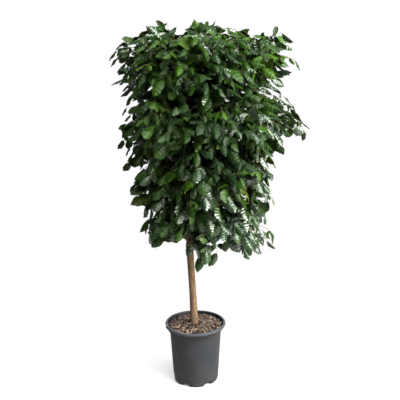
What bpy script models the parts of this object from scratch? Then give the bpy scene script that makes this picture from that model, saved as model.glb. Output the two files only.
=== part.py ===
# A potted standard tree: a clear trunk in a round nursery pot, under a tall, loose head of foliage.
#
# Metres, +Z up, origin at the centre of the pot's flat underside. The front faces -Y, and +X is
# to the right as it is seen from the front.

import math

import bmesh
import bpy
from mathutils import Matrix, Quaternion, Vector, noise
from mathutils.geometry import interpolate_bezier

UP = Vector((0.0, 0.0, 1.0))

# Clearance between two pieces that touch on the real plant
TOUCH = 0.0004

# Nursery pot
POT_HEIGHT = 0.280
RIM_RADIUS = 0.140
BASE_RADIUS = 0.1023
WALL_TOP_RADIUS = 0.1142
FLARE_START = 0.236
FLARE_RUN = 0.030
FLARE_RADIUS_TOP = 0.135
FLARE_BEND = 1.6
LIP_HEIGHT = 0.014
LIP_THICKNESS = 0.011
WALL = 0.0025
FOOT_ROUNDING = 0.010
FOOT_TOP = 0.014
POT_SEGMENTS = 36

# Drainage channels under the foot, each with a hole up through the floor
CHANNELS = 6
FIRST_CHANNEL_DEG = 244.5
CHANNEL_HEIGHT = 0.011
CHANNEL_HALF_DEG = 8.0
CHANNEL_INNER_RADIUS = 0.060
DRAIN_RADIUS = 0.004
DRAIN_FROM_CENTRE = 0.086

# Soil, a finger's width below the rim
SOIL_TOP = 0.2598
SOIL_DOME = 0.004
SOIL_EDGE_STEP = 0.0015
SEAT_RADIUS = 0.034

# Trunk, from the soil to its fork
TRUNK_FOOT = Vector((-0.0050, 0.0, SOIL_TOP + TOUCH))
FORK = Vector((-0.0190, 0.0, 0.6620))
FLARE_RADIUS = 0.0215
TRUNK_RADIUS = 0.0160
TRUNK_TOP_RADIUS = 0.0150
KNUCKLE_RADIUS = 0.0190
TRUNK_SIDES = 12
TRUNK_STATIONS = 10

# The two boughs of the fork: the leader runs on up the middle of the head
LEADER_RADIUS = 0.0105
LEADER_PULLS = (Vector((0.100, 0.0, 0.780)), Vector((0.088, 0.0, 1.060)))
LEFT_RADIUS = 0.0098
LEFT_PULLS = (Vector((-0.036, 0.0, 0.710)), Vector((-0.066, 0.0, 0.775)))
BOUGH_TAPER = 0.50
BOUGH_SIDES = 8
BRANCH_SIDES = 6
BRANCH_SHARE = 0.62
BRANCH_RISE = {"right": 0.66, "back": 0.48, "left": 0.90, "front": 0.60}
SOCKET = 0.024
PARENT_STEPS = 60

# Foliage: tiers of masses round an upright axis, and from where to where each runs on its side.
# Those to the right, furthest over the foot, are thin pads.
FOLIAGE_AXIS = Vector((0.055, 0.0, 0.0))
TIERS = {
    "skirt": {"floor": 0.605, "ceiling": 0.895, "turn": -10.0,
              "right": (0.155, 0.270), "back": (0.085, 0.255),
              "left": (0.150, 0.262), "front": (0.100, 0.250)},
    "lower": {"floor": 0.825, "ceiling": 1.095, "turn": 12.0,
              "right": (0.165, 0.285), "back": (0.085, 0.290),
              "left": (0.105, 0.280), "front": (0.085, 0.290)},
    "upper": {"floor": 1.045, "ceiling": 1.343, "turn": -8.0,
              "right": (0.185, 0.345), "back": (0.095, 0.345),
              "left": (0.095, 0.325), "front": (0.095, 0.345)},
    "top": {"floor": 1.290, "ceiling": 1.570, "turn": 10.0,
            "right": (0.185, 0.345), "back": (0.100, 0.350),
            "left": (0.100, 0.345), "front": (0.100, 0.350)},
}
SIDES = {"right": 0.0, "back": 98.0, "left": 180.0, "front": 262.0}
SPAN = 1.06
CAP = {"centre": Vector((0.050, 0.0, 1.505)), "radii": Vector((0.175, 0.170, 0.095)), "angle": 0.0}

# Masses that stop short of their tier's floor, to leave the fork open to view
FLOORS = {"skirt_front": 0.680, "skirt_left": 0.630}

# The furthest sprays, by the mass that carries them
TIPS = {
    "skirt_right": [Vector((0.404, -0.020, 0.588))],
    "skirt_left": [Vector((-0.225, 0.020, 0.635))],
    "skirt_front": [Vector((0.040, -0.180, 0.600))],
    "lower_left": [Vector((-0.292, 0.000, 0.850)), Vector((-0.272, 0.010, 1.030))],
    "lower_right": [Vector((0.380, 0.020, 0.845)), Vector((0.372, 0.000, 1.020))],
    "upper_right": [
        Vector((0.536, -0.020, 1.122)),
        Vector((0.470, 0.000, 1.205)),
        Vector((0.430, 0.030, 1.290)),
    ],
    "upper_left": [Vector((-0.325, 0.030, 1.140))],
    "top_right": [Vector((0.478, 0.000, 1.425)), Vector((0.435, 0.040, 1.540))],
    "top_left": [Vector((-0.357, 0.000, 1.480)), Vector((-0.145, 0.000, 1.620))],
    "cap": [Vector((0.086, 0.000, 1.634)), Vector((-0.090, 0.020, 1.590))],
}
TIP_SPREAD = 0.27
LUMP = 0.15
LUMPS_PER_METRE = 12.0
MASS_SEGMENTS = 14
MASS_RINGS = 9

COLOURS = {
    "pot": ((0.045, 0.048, 0.052), 0.55),
    "soil": ((0.110, 0.070, 0.045), 0.95),
    "bark": ((0.330, 0.215, 0.130), 0.80),
    "leaf": ((0.030, 0.090, 0.022), 0.45),
}


# Shared steps


def finish_of(kind):
    found = bpy.data.materials.get(kind)
    if found:
        return found
    colour, roughness = COLOURS[kind]
    made = bpy.data.materials.new(kind)
    made.use_nodes = True
    shader = made.node_tree.nodes["Principled BSDF"]
    shader.inputs["Base Color"].default_value = (*colour, 1.0)
    shader.inputs["Roughness"].default_value = roughness
    return made


def add_object(name, bm, kind):
    bmesh.ops.recalc_face_normals(bm, faces=bm.faces)
    mesh = bpy.data.meshes.new(name)
    bm.to_mesh(mesh)
    bm.free()
    mesh.materials.append(finish_of(kind))
    mesh.shade_smooth()
    mesh.set_sharp_from_angle(angle=math.radians(40.0))
    made = bpy.data.objects.new(name, mesh)
    bpy.context.scene.collection.objects.link(made)
    return made


def as_cutter(made):
    made.hide_render = True
    made.display_type = "WIRE"
    return made


def cut(target, cutter):
    boolean = target.modifiers.new("clear_of_" + cutter.name, "BOOLEAN")
    boolean.operation = "DIFFERENCE"
    boolean.object = cutter


def outward(angle):
    return Vector((math.cos(angle), math.sin(angle), 0.0))


# Pot and soil


def wall_radius(height):
    return BASE_RADIUS + (WALL_TOP_RADIUS - BASE_RADIUS) * height / FLARE_START


# How far the foot is pushed up over a drainage channel
def channel_lift(point):
    pitch = 2 * math.pi / CHANNELS
    angle = math.atan2(point.y, point.x) - math.radians(FIRST_CHANNEL_DEG)
    away = (angle + pitch / 2) % pitch - pitch / 2
    across = max(0.0, 1.0 - (away / math.radians(CHANNEL_HALF_DEG)) ** 2)
    radius = point.to_2d().length
    along = (radius - CHANNEL_INNER_RADIUS) / (BASE_RADIUS - CHANNEL_INNER_RADIUS)
    return CHANNEL_HEIGHT * math.sqrt(across) * min(1.0, max(0.0, along))


# One side of the pot's shell, from the middle of the floor to the flare, set in by a distance
def shell_side(inset):
    floor_radius = wall_radius(FOOT_ROUNDING) - FOOT_ROUNDING
    side = [(0.0, inset), (CHANNEL_INNER_RADIUS, inset), (floor_radius, inset)]
    corner = FOOT_ROUNDING - inset
    for degrees in (35.0, 70.0):
        turn = math.radians(degrees)
        radius = floor_radius + corner * math.sin(turn)
        side.append((radius, FOOT_ROUNDING - corner * math.cos(turn)))
    side += [(wall_radius(h) - inset, h) for h in (FOOT_TOP, FLARE_START)]
    for share in (0.5, 1.0):
        radius = WALL_TOP_RADIUS + (FLARE_RADIUS_TOP - WALL_TOP_RADIUS) * share ** FLARE_BEND
        side.append((radius - inset, FLARE_START + FLARE_RUN * share + inset * 0.3))
    return side


def lip_profile():
    low, high = POT_HEIGHT - LIP_HEIGHT, POT_HEIGHT
    inner = RIM_RADIUS - LIP_THICKNESS
    return [
        (RIM_RADIUS - 0.0030, low),
        (RIM_RADIUS, low + 0.0035),
        (RIM_RADIUS, high - 0.0045),
        (RIM_RADIUS - 0.0040, high),
        (inner + 0.0025, high - 0.0010),
        (inner, high - 0.0040),
    ]


# Turns a profile that starts and ends on the axis, and presses the channels into its foot
def turned(name, profile, kind):
    bm = bmesh.new()
    points = [bm.verts.new((radius, 0.0, height)) for radius, height in profile]
    edges = [bm.edges.new(pair) for pair in zip(points[:-1], points[1:])]
    bmesh.ops.spin(
        bm,
        geom=points + edges,
        axis=UP,
        angle=2 * math.pi,
        steps=POT_SEGMENTS,
        use_merge=True,
    )
    bmesh.ops.remove_doubles(bm, verts=bm.verts, dist=1e-5)
    for vert in bm.verts:
        if vert.co.z < FOOT_TOP + TOUCH:
            vert.co.z += channel_lift(vert.co)
    bmesh.ops.triangulate(bm, faces=bm.faces[:], quad_method="SHORT_EDGE")
    return add_object(name, bm, kind)


def drain_cutter():
    bm = bmesh.new()
    for k in range(CHANNELS):
        angle = math.radians(FIRST_CHANNEL_DEG) + 2 * math.pi * k / CHANNELS
        bmesh.ops.create_cone(
            bm,
            cap_ends=True,
            segments=8,
            radius1=DRAIN_RADIUS,
            radius2=DRAIN_RADIUS,
            depth=CHANNEL_HEIGHT * 4,
            matrix=Matrix.Translation(outward(angle) * DRAIN_FROM_CENTRE),
        )
    return as_cutter(add_object("drain_cutter", bm, "pot"))


def build_pot():
    profile = shell_side(0.0) + lip_profile() + shell_side(WALL)[::-1]
    pot = turned("pot", profile, "pot")
    cut(pot, drain_cutter())


def build_soil():
    profile = shell_side(WALL + TOUCH)[:-1]
    edge = profile[-1][0] + SOIL_EDGE_STEP
    middle = (edge + SEAT_RADIUS) / 2
    profile += [(edge, SOIL_TOP - SOIL_DOME), (middle, SOIL_TOP - SOIL_DOME * 0.4)]
    profile += [(SEAT_RADIUS, SOIL_TOP), (0.0, SOIL_TOP)]
    turned("soil", profile, "soil")


# Trunk and boughs


# Skins a limb: a ring at each centre, square to the limb, each bridged to the next
def limb(name, centres, radii, sides):
    bm = bmesh.new()
    turn, aim = Quaternion(), UP
    rings = []
    for i, (centre, radius) in enumerate(zip(centres, radii)):
        ahead = centres[min(i + 1, len(centres) - 1)] - centres[max(i - 1, 0)]
        turn = aim.rotation_difference(ahead) @ turn
        aim = ahead
        is_end = i in (0, len(centres) - 1)
        ring = bmesh.ops.create_circle(
            bm,
            cap_ends=is_end,
            radius=radius,
            segments=sides,
            matrix=Matrix.LocRotScale(centre, turn, None),
        )["verts"]
        edges = [edge for vert in ring for edge in vert.link_edges]
        rings.append(list(dict.fromkeys(edges)))
    for low, high in zip(rings[:-1], rings[1:]):
        bmesh.ops.bridge_loops(bm, edges=low + high)
    return add_object(name, bm, "bark")


# The trunk flares to the soil, tapers, and swells into a knuckle under its two boughs
def trunk_shape(clearance):
    start = TRUNK_FOOT + UP * 0.008
    lean = FORK - start
    centres = [TRUNK_FOOT] + interpolate_bezier(
        start, start + UP * lean.z * 0.35, FORK - lean * 0.35, FORK, TRUNK_STATIONS
    )
    radii = []
    for centre in centres:
        share = (centre.z - TRUNK_FOOT.z) / (FORK.z - TRUNK_FOOT.z)
        plain = TRUNK_RADIUS + (TRUNK_TOP_RADIUS - TRUNK_RADIUS) * share
        flare = (FLARE_RADIUS - TRUNK_RADIUS) * math.exp(-share * 12.0)
        knuckle = (KNUCKLE_RADIUS - TRUNK_TOP_RADIUS) * math.exp((share - 1.0) * 12.0)
        radii.append(plain + flare + knuckle + clearance)
    dome = KNUCKLE_RADIUS + clearance
    for degrees in (30.0, 55.0, 75.0):
        turn = math.radians(degrees)
        centres.append(FORK + lean.normalized() * math.sin(turn) * dome)
        radii.append(math.cos(turn) * dome)
    return centres, radii


def bough_shape(bough, clearance):
    stations = bough["stations"]
    centres = interpolate_bezier(*bough["path"], stations)
    radii = [
        bough["radius"] * (1.0 - (1.0 - BOUGH_TAPER) * i / (stations - 1)) + clearance
        for i in range(stations)
    ]
    if clearance:
        ahead = (centres[-1] - centres[-2]).normalized()
        centres.append(centres[-1] + ahead * clearance)
        radii.append(radii[-1])
    return centres, radii


# A bough off another: it leaves low enough to rise into its mass, and no two at one height
def branch_off(parent, mass, rise):
    entry = entry_of(mass)
    centres = interpolate_bezier(*parent["path"], PARENT_STEPS)
    flat = (entry - FOLIAGE_AXIS).to_2d().length
    first, last = PARENT_STEPS // 15, PARENT_STEPS * 5 // 6
    k = min(range(first, last), key=lambda i: abs(centres[i].z - (entry.z - rise * flat)))
    start = centres[k]
    radius = parent["radius"] * (1.0 - (1.0 - BOUGH_TAPER) * k / (PARENT_STEPS - 1))
    pull = start.lerp(entry, 0.55) - UP * 0.12 * (entry.z - start.z)
    path = (start, start.lerp(pull, 0.5), pull, entry)
    return {"path": path, "radius": radius * BRANCH_SHARE, "stations": 5, "sides": BRANCH_SIDES}


def lay_out_boughs(masses):
    lower_left = masses["lower_left"]
    leader_end = CAP["centre"] - UP * (CAP["radii"].z - SOCKET)
    boughs = {
        "leader": {"path": (FORK, *LEADER_PULLS, leader_end), "radius": LEADER_RADIUS},
        "lower_left": {"path": (FORK, *LEFT_PULLS, entry_of(lower_left)), "radius": LEFT_RADIUS},
    }
    boughs["leader"].update(stations=12, sides=BOUGH_SIDES, mass="cap")
    boughs["lower_left"].update(stations=7, sides=BOUGH_SIDES, mass="lower_left")
    for name, mass in masses.items():
        if name in ("cap", "lower_left"):
            continue
        parent = "lower_left" if name == "skirt_left" else "leader"
        boughs[name] = branch_off(boughs[parent], mass, BRANCH_RISE[name.split("_")[1]])
        boughs[name]["mass"] = name
    return boughs


# Foliage masses


# Each mass is an ellipsoid that lies across its own direction from the axis
def lay_out_masses():
    masses = {}
    for tier, size in TIERS.items():
        for side, degrees in SIDES.items():
            name = tier + "_" + side
            core, reach = size[side]
            middle = (core + reach) / 2
            floor = FLOORS.get(name, size["floor"])
            height = (floor + size["ceiling"]) / 2
            angle = math.radians(degrees + size["turn"])
            masses[name] = {
                "centre": FOLIAGE_AXIS + outward(angle) * middle + UP * height,
                "radii": Vector((reach - middle, middle * SPAN, size["ceiling"] - height)),
                "angle": angle,
            }
    masses["cap"] = CAP
    return masses


# How far the plain ellipsoid of a mass reaches from its centre, in a direction
def reach_of(mass, direction):
    local = Matrix.Rotation(-mass["angle"], 3, "Z") @ direction
    return 1.0 / math.sqrt(sum((local[i] / mass["radii"][i]) ** 2 for i in range(3)))


# Where a bough ends: a socket's depth inside the mass, on its lower inner side
def entry_of(mass):
    aim = (outward(mass["angle"]) * 0.86 + UP * 0.50).normalized()
    return mass["centre"] - aim * (reach_of(mass, -aim) - SOCKET)


# A closed, uneven solid: a ball stretched, roughened, and drawn out to its tips
def mass_mesh(mass, tips):
    bm = bmesh.new()
    bmesh.ops.create_uvsphere(bm, u_segments=MASS_SEGMENTS, v_segments=MASS_RINGS, radius=1.0)
    stretch = Matrix.Rotation(mass["angle"], 3, "Z") @ Matrix.Diagonal(mass["radii"])
    arms = [stretch @ vert.co for vert in bm.verts]
    for arm in arms:
        place = (mass["centre"] + arm) * LUMPS_PER_METRE
        arm *= 1.0 + LUMP * (noise.noise(place) + 0.5 * noise.noise(place * 2.3))
    for tip in tips:
        aim = tip - mass["centre"]
        turns = [arm.angle(aim) for arm in arms]
        nearest = min(turns)
        for arm, turn in zip(arms, turns):
            arm += (aim - arm) * math.exp(-(((turn - nearest) / TIP_SPREAD) ** 2))
    for vert, arm in zip(bm.verts, arms):
        vert.co = mass["centre"] + arm
    return bm


# Cuts a mass flat where it meets each neighbour, between the two by their reach
def part_from(bm, mass, other):
    line = other["centre"] - mass["centre"]
    toward = line.normalized()
    mine, theirs = reach_of(mass, toward), reach_of(other, -toward)
    meeting = mass["centre"] + line * mine / (mine + theirs)
    made = bmesh.ops.bisect_plane(
        bm,
        geom=bm.verts[:] + bm.edges[:] + bm.faces[:],
        dist=1e-5,
        plane_co=meeting - toward * TOUCH / 2,
        plane_no=toward,
        clear_outer=True,
    )["geom_cut"]
    rim = [item for item in made if isinstance(item, bmesh.types.BMEdge)]
    if rim:
        bmesh.ops.edgeloop_fill(bm, edges=rim)


# The whole plant


def build_limbs(boughs):
    limb("trunk", *trunk_shape(0.0), TRUNK_SIDES)
    cutters = [as_cutter(limb("trunk_clearance", *trunk_shape(TOUCH), TRUNK_SIDES))]
    sockets = {}
    for name, bough in boughs.items():
        made = limb("bough_" + name, *bough_shape(bough, 0.0), bough["sides"])
        for cutter in cutters:
            cut(made, cutter)
        clear = limb("bough_" + name + "_clearance", *bough_shape(bough, TOUCH), bough["sides"])
        sockets[bough["mass"]] = as_cutter(clear)
        if name in ("leader", "lower_left"):
            cutters.append(clear)
    return sockets


def build_foliage(masses, sockets):
    for name, mass in masses.items():
        bm = mass_mesh(mass, TIPS.get(name, []))
        for other in masses.values():
            if other is not mass:
                part_from(bm, mass, other)
        bmesh.ops.triangulate(bm, faces=bm.faces[:])
        cut(add_object("foliage_" + name, bm, "leaf"), sockets[name])


def main():
    for item in list(bpy.data.objects):
        bpy.data.objects.remove(item)
    build_pot()
    build_soil()
    masses = lay_out_masses()
    sockets = build_limbs(lay_out_boughs(masses))
    build_foliage(masses, sockets)


main()
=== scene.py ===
import math
from itertools import product

import bmesh
import bpy
import numpy as np
from mathutils import Matrix, Vector, kdtree, noise
from mathutils.bvhtree import BVHTree


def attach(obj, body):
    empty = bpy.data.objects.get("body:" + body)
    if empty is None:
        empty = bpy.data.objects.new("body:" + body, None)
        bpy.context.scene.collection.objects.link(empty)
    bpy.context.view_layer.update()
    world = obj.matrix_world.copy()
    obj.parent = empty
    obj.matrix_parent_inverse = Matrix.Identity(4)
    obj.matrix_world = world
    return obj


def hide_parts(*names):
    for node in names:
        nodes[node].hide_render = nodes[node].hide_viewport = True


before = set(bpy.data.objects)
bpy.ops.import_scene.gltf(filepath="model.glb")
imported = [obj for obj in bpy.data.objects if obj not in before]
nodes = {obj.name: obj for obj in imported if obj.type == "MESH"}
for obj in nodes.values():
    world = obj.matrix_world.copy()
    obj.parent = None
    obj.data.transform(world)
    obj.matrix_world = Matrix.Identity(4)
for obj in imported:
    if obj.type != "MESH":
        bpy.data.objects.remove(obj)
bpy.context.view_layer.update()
up = np.array((0.0, 0.0, 1.0))
limbNames = [name for name in nodes if name == "trunk" or name.startswith("bough_")]
massNames = [name for name in nodes if name.startswith("foliage_")]
mainLimbs = ("trunk", "bough_leader", "bough_lower_left")
seeds = {"chips": 61, "skin": 5, "tips": 7, "twigs": 33, "leaves": 61}
print("frame loaded:", len(limbNames), "limbs,", len(massNames), "masses")


def unit(vectors):
    vectors = np.asarray(vectors, float)
    return vectors / np.maximum(np.linalg.norm(vectors, axis=-1, keepdims=True), 1e-9)


def square(vectors, axis):
    return unit(vectors - (vectors * axis).sum(-1, keepdims=True) * axis)


# Objects and materials

def placed(name, data):
    thing = bpy.data.objects.new(name, data)
    bpy.context.scene.collection.objects.link(thing)
    return thing


def newObject(name, mesh, material, slot=None, smooth=True):
    piece = placed(name, mesh)
    mesh.materials.clear()
    mesh.materials.append(material)
    if smooth:
        mesh.shade_smooth()
    if slot:
        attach(piece, "root")
    return piece


def meshFrom(name, bm):
    mesh = bpy.data.meshes.new(name)
    bm.to_mesh(mesh)
    bm.free()
    return mesh


def addNode(tree, kind, inputs=None, **settings):
    node = tree.nodes.new("ShaderNode" + kind)
    for key, value in settings.items():
        setattr(node, key, value)
    for key, value in (inputs or {}).items():
        if isinstance(value, bpy.types.NodeSocket):
            tree.links.new(value, node.inputs[key])
        else:
            node.inputs[key].default_value = value
    return node


def maths(tree, operation, first, second=0.0):
    return addNode(tree, "Math", {0: first, 1: second}, operation=operation).outputs[0]


def times(tree, first, second):
    return maths(tree, "MULTIPLY", first, second)


def ranged(tree, value, low, high, start=0.0, end=1.0, smooth=True):
    kind = "SMOOTHSTEP" if smooth else "LINEAR"
    inputs = {"Value": value, "From Min": low, "From Max": high, "To Min": start, "To Max": end}
    return addNode(tree, "MapRange", inputs, interpolation_type=kind).outputs[0]


def mixed(tree, share, first, second):
    # On a colour mix, sockets 6 and 7 are its two colours
    node = addNode(tree, "Mix", data_type="RGBA", blend_type="MIX")
    for socket, value in ((node.inputs[0], share), (node.inputs[6], first), (node.inputs[7], second)):
        if isinstance(value, bpy.types.NodeSocket):
            tree.links.new(value, socket)
        else:
            socket.default_value = value if isinstance(value, float) else (*value, 1.0)
    return node.outputs[2]


def shaded(tint, factor):
    return tuple(factor * part for part in tint)


def newMaterial(name, fixed):
    material = bpy.data.materials.new(name)
    material.use_nodes = True
    tree = material.node_tree
    tree.nodes.clear()
    shader = addNode(tree, "BsdfPrincipled", fixed)
    output = addNode(tree, "OutputMaterial")
    tree.links.new(shader.outputs[0], output.inputs[0])
    return material, tree, shader


def surfaced(tree, shader, colour, height, distance, strength):
    tree.links.new(colour, shader.inputs["Base Color"])
    inputs = {"Height": height, "Distance": distance, "Strength": strength}
    bump = addNode(tree, "Bump", inputs)
    for name in ("Normal", "Coat Normal"):
        tree.links.new(bump.outputs[0], shader.inputs[name])


def noiseOn(tree, vector, scale, detail=3.0, roughness=0.55):
    inputs = {"Vector": vector, "Scale": scale, "Detail": detail, "Roughness": roughness}
    return addNode(tree, "TexNoise", inputs).outputs["Fac"]


def inOrder(parts, key):
    for index, part in enumerate(sorted(parts, key=key)):
        part.index = index
    parts.sort()


def turned(profile, steps):
    # Spins a profile of (radius, height) pairs around the upright axis
    bm = bmesh.new()
    line = [bm.verts.new((x, 0.0, z)) for x, z in profile]
    edges = [bm.edges.new(pair) for pair in zip(line[:-1], line[1:])]
    bmesh.ops.spin(
        bm, geom=line + edges, cent=(0, 0, 0), axis=(0, 0, 1), dvec=(0, 0, 0),
        angle=math.tau, steps=steps, use_merge=True, use_duplicate=False,
    )
    bmesh.ops.remove_doubles(bm, verts=bm.verts, dist=1e-6)
    # The spin's own order changes from run to run
    inOrder(bm.verts, lambda vert: tuple(vert.co))
    inOrder(bm.faces, lambda face: sorted(vert.index for vert in face.verts))
    return bm


def placesOf(tree, stretch=(1.0, 1.0, 1.0)):
    places = addNode(tree, "TexCoord").outputs["Object"]
    return addNode(tree, "Mapping", {"Vector": places, "Scale": stretch}).outputs[0]


# Camera, floor and light

view = {
    "place": (0.032, -2.6, 1.426), "tipDownDeg": 12.32, "rollDeg": -0.97,
    "focalPixels": 599.0, "framePixels": 400.0, "sensorWidth": 36.0, "farClip": 100.0,
}


def setCamera():
    data = bpy.data.cameras.new("camera")
    data.sensor_width = view["sensorWidth"]
    data.lens = view["focalPixels"] / view["framePixels"] * data.sensor_width
    data.clip_end = view["farClip"]
    camera = placed("camera", data)
    camera.matrix_world = (
        Matrix.Translation(view["place"])
        @ Matrix.Rotation(math.radians(90.0 - view["tipDownDeg"]), 4, "X")
        @ Matrix.Rotation(math.radians(view["rollDeg"]), 4, "Z")
    )
    bpy.context.scene.camera = camera


studio = {
    "floorRadius": 40.0, "floorSides": 96, "floorTint": (0.90, 0.90, 0.89),
    "floorGrain": 0.985, "floorBounce": 0.45, "floorFade": (0.02, 0.34),
    "skyStrength": 0.20, "skyGloss": 0.3, "aim": (0.04, 0.0, 1.05),
}
# Place, width, power and tint of each lamp
lamps = {
    "key": ((3.0, -2.0, 2.6), 2.8, 505.0, (1.0, 1.0, 0.96)),
    "top": ((0.8, -1.5, 4.0), 3.4, 240.0, (0.90, 0.96, 1.0)),
    "back": ((-0.6, 3.5, 2.3), 3.2, 150.0, (1.0, 1.0, 0.96)),
}


def addLamp(name, place, size, power, tint):
    data = bpy.data.lights.new(name, "AREA")
    data.shape = "DISK"
    data.size = size
    data.energy = power
    data.color = tint
    lamp = placed(name, data)
    lamp.location = place
    aim = Vector(studio["aim"]) - Vector(place)
    lamp.rotation_euler = aim.to_track_quat("-Z", "Y").to_euler()


def setWorld():
    # White where it is seen, dimmer where it only lights the plant
    world = bpy.data.worlds.new("studio")
    bpy.context.scene.world = world
    world.use_nodes = True
    tree = world.node_tree
    rays = addNode(tree, "LightPath")
    lit = studio["skyStrength"]
    inGloss = rays.outputs["Is Glossy Ray"]
    dim = ranged(tree, inGloss, 0.0, 1.0, lit, lit * studio["skyGloss"], smooth=False)
    strength = maths(tree, "MAXIMUM", dim, rays.outputs["Is Camera Ray"])
    tree.links.new(strength, tree.nodes["Background"].inputs["Strength"])
    tree.nodes["Background"].inputs["Color"].default_value = (1.0, 1.0, 1.0, 1.0)


def floorMaterial():
    # The floor brightens into the backdrop further out
    material, tree, shader = newMaterial("floor", {"Roughness": 0.9, "Specular IOR Level": 0.2})
    places = placesOf(tree)
    tint = studio["floorTint"]
    grain = noiseOn(tree, places, 3.0)
    colour = mixed(tree, grain, tint, shaded(tint, studio["floorGrain"]))
    seen = addNode(tree, "LightPath").outputs["Is Camera Ray"]
    colour = mixed(tree, seen, shaded(tint, studio["floorBounce"]), colour)
    tree.links.new(colour, shader.inputs["Base Color"])
    reach = addNode(tree, "VectorMath", {0: places}, operation="LENGTH").outputs["Value"]
    share = times(tree, ranged(tree, reach, *studio["floorFade"]), seen)
    glow = addNode(tree, "Emission", {"Color": (1.0, 1.0, 1.0, 1.0), "Strength": 1.0})
    both = addNode(tree, "MixShader", {0: share, 1: shader.outputs[0], 2: glow.outputs[0]})
    output = next(node for node in tree.nodes if node.type == "OUTPUT_MATERIAL")
    tree.links.new(both.outputs[0], output.inputs[0])
    return material


def setStudio():
    setWorld()
    bpy.context.scene.view_settings.view_transform = "Standard"
    for name, lamp in lamps.items():
        addLamp(name, *lamp)
    bm = bmesh.new()
    sides = studio["floorSides"]
    bmesh.ops.create_circle(bm, cap_ends=True, radius=studio["floorRadius"], segments=sides)
    newObject("floor", meshFrom("floor", bm), floorMaterial())


setCamera()
setStudio()
print("camera, floor and light set")


# The pot: one turned profile, notched at the foot

pot = {
    "height": 0.280, "baseRadius": 0.1045, "wallTopRadius": 0.1172, "flareStart": 0.231,
    "flareRun": 0.035, "flareRadius": 0.135, "rimRadius": 0.140, "lipHeight": 0.014,
    "lipThickness": 0.011, "wall": 0.0025, "footRounding": 0.010, "floorHeight": 0.014,
    "footHollow": 0.003, "wallLevels": (0.016, 0.197, 17), "ribbedLevels": (0.1995, 0.0015),
    "steps": 144, "channels": 6, "firstChannelDeg": 242.5, "channelHeight": 0.0145,
    "channelHalfDeg": 9.0, "channelPinch": 0.0045, "ribs": (0.204, 0.213, 0.222),
    "ribHeight": 0.0009, "ribSpread": 0.0016, "channelInner": 0.060, "channelFade": 0.030,
    "dents": ((187.0, 5.0, 0.0065), (199.0, 7.0, -0.0020), (214.0, 12.0, 0.0025)),
    "dentBelow": 0.06, "dentRun": 0.109, "dentDrop": 0.35, "ripple": 0.0008,
    # The rim band, rim inner and rim tint paint a highlight on the top of the lip
    "dustHeight": 0.14, "rimBand": (0.2655, 0.2705), "rimInner": (0.1295, 0.1335),
    "tint": (0.0190, 0.0202, 0.0228), "rimHighlightTint": (0.052, 0.059, 0.072),
    "dustTint": (0.068, 0.058, 0.046),
}


def potRadiusAt(z):
    start = pot["flareStart"]
    if z <= start:
        share = max(z, 0.0) / start
        rib = sum(math.exp(-((z - level) / pot["ribSpread"]) ** 2) for level in pot["ribs"])
        slant = (pot["wallTopRadius"] - pot["baseRadius"]) * share
        return pot["baseRadius"] + slant + rib * pot["ribHeight"]
    share = min((z - start) / pot["flareRun"], 1.0)
    flare = pot["flareRadius"] - pot["wallTopRadius"]
    return pot["wallTopRadius"] + flare * share ** 2


def potProfile():
    base, rounding, hollow = pot["baseRadius"], pot["footRounding"], pot["footHollow"]
    start, inner = pot["flareStart"], pot["channelInner"]
    lipFoot = pot["height"] - pot["lipHeight"]
    lipMiddle = pot["height"] - pot["lipHeight"] / 2
    lipCentre = pot["rimRadius"] - pot["lipThickness"] / 2
    points = [(0.0, hollow), (inner, hollow), (inner + 0.004, 0.0)]
    points += [(base * 0.78, 0.0), (base - rounding, 0.0)]
    for degrees in (22.5, 45.0, 67.5, 90.0):
        turn = math.radians(degrees)
        reach = base - rounding + math.sin(turn) * rounding
        points.append((reach, rounding * (1 - math.cos(turn))))
    first, gap = pot["ribbedLevels"]
    levels = [*np.linspace(*pot["wallLevels"]), *np.arange(first, start, gap)]
    for z in [*levels, *np.linspace(start + 0.005, lipFoot, 5)]:
        points.append((potRadiusAt(z), z))
    for degrees in range(-75, 255, 15):
        turn = math.radians(degrees)
        x = lipCentre + math.cos(turn) * pot["lipThickness"] / 2
        points.append((x, lipMiddle + math.sin(turn) * pot["lipHeight"] / 2))
    for z in np.linspace(lipFoot - 0.004, 0.02, 14):
        points.append((potRadiusAt(z) - pot["wall"] - 0.0005, z))
    points.append((base - pot["wall"] - 0.004, pot["floorHeight"]))
    points.append((0.0, pot["floorHeight"]))
    return points


def shapePot(vert):
    # Cuts the channels under the foot, then dents and ripples the top
    x, y, z = vert.co
    reach = math.hypot(x, y)
    if reach < 1e-6:
        return
    angle = math.degrees(math.atan2(y, x)) % 360.0
    spacing = 360.0 / pot["channels"]
    off = (angle - pot["firstChannelDeg"] + spacing / 2) % spacing - spacing / 2
    half = pot["channelHalfDeg"]
    share = 1.0 - max(abs(off) - half * 0.7, 0.0) / (half * 0.6)
    if z < pot["channelHeight"] and reach > pot["channelInner"] + 0.002 and share > 0:
        vert.co.z += (pot["channelHeight"] - 0.0005 - z) * min(share, 1.0) ** 0.6
    low = 1.0 - (z - pot["channelHeight"]) / pot["channelFade"]
    if 0.0 < low and share > -0.5 and reach > pot["baseRadius"] - pot["footRounding"] - 0.001:
        inward = pot["channelPinch"] * min(low, 1.0) ** 1.5 * min((share + 0.5) / 1.5, 1.0)
        vert.co.x *= 1.0 - inward / reach
        vert.co.y *= 1.0 - inward / reach
    if z > pot["flareStart"] - pot["dentBelow"]:
        rise = (z - pot["flareStart"] + pot["dentBelow"]) / pot["dentRun"]
        dent = 0.0
        for middle, spread, depth in pot["dents"]:
            bend = (angle - middle + 180.0) % 360.0 - 180.0
            dent += math.exp(-(bend / spread) ** 2) * depth * rise ** 2
        ripple = math.sin(math.radians(angle) * 3.0 + 0.8) * pot["ripple"] * rise
        scale = (reach - dent + ripple) / reach
        vert.co.x *= scale
        vert.co.y *= scale
        vert.co.z -= dent * pot["dentDrop"] * rise


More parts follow.
